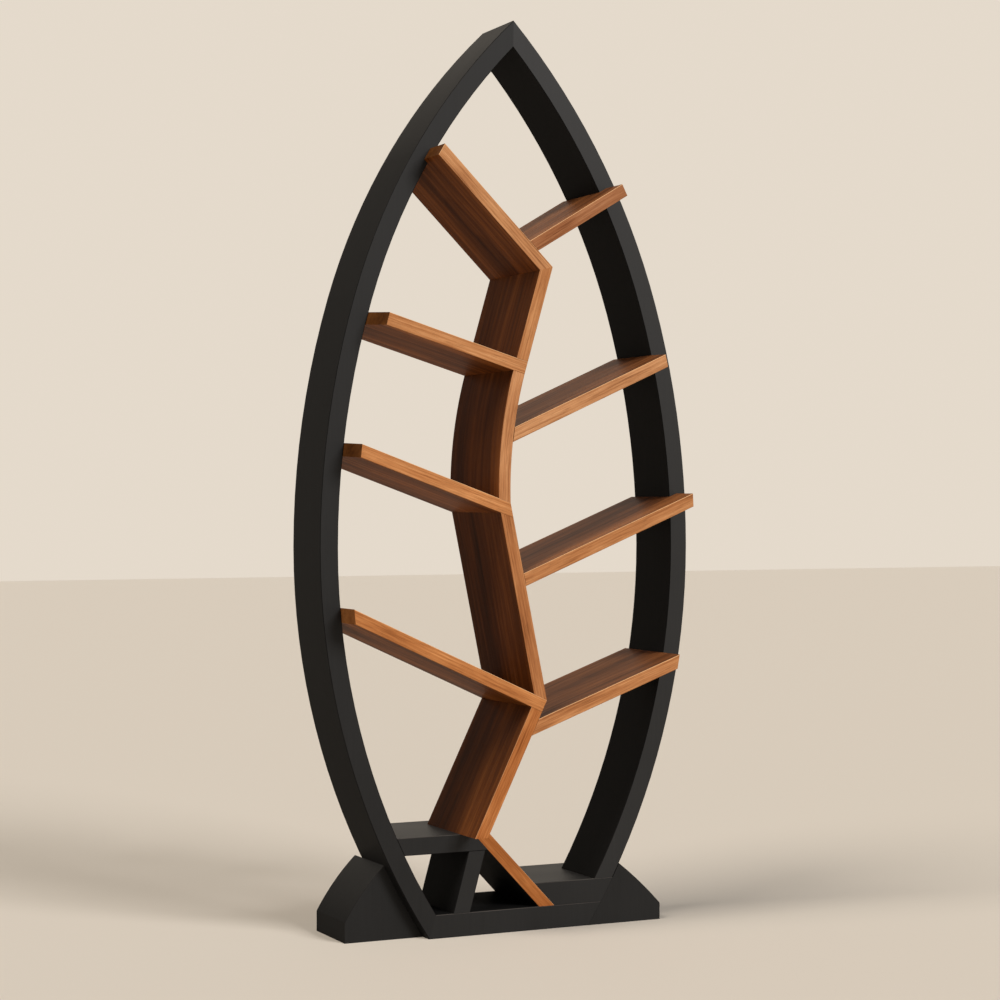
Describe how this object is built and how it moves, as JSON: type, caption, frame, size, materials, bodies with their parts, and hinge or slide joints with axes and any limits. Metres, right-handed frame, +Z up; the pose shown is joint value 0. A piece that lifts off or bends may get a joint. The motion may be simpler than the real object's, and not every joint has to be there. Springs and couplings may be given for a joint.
{
  "type": "arched bookshelf",
  "caption": "Free-standing open bookshelf: a black pointed arch frame on a low base, with a bent wooden spine and slanting wooden shelves branching to both sides.",
  "frame": {"origin": "on the floor, on the arch's axis and halfway through the whole depth", "axes": "+Z up; +X to the right seen from the front; the front of the shelf faces -Y"},
  "size_m": [0.802, 0.275, 1.8],
  "materials": {
    "black_frame": "satin black lacquer",
    "walnut": "satin oiled walnut",
    "dowel_wood": "plain beech"
  },
  "bodies": {
    "root": {"frame_left_member": "black_frame", "frame_right_member": "black_frame", "base_rail": "black_frame", "right_block": "black_frame", "left_ledge": "black_frame", "base_leg": "black_frame", "left_foot": "black_frame", "right_foot": "black_frame", "spine_top_board": "walnut", "spine_upper_board": "walnut", "spine_curved_board": "walnut", "spine_lower_board": "walnut", "spine_foot_board": "walnut", "spine_brace": "walnut", "left_upper_shelf": "walnut", "left_middle_shelf": "walnut", "left_lower_shelf": "walnut", "right_top_shelf": "walnut", "right_upper_shelf": "walnut", "right_middle_shelf": "walnut", "right_lower_shelf": "walnut", "apex_dowels": "dowel_wood", "base_dowels": "dowel_wood", "spine_dowels": "dowel_wood", "right_shelf_dowels": "dowel_wood", "left_frame_dowels": "dowel_wood", "right_frame_dowels": "dowel_wood"}
  },
  "joints": []
}
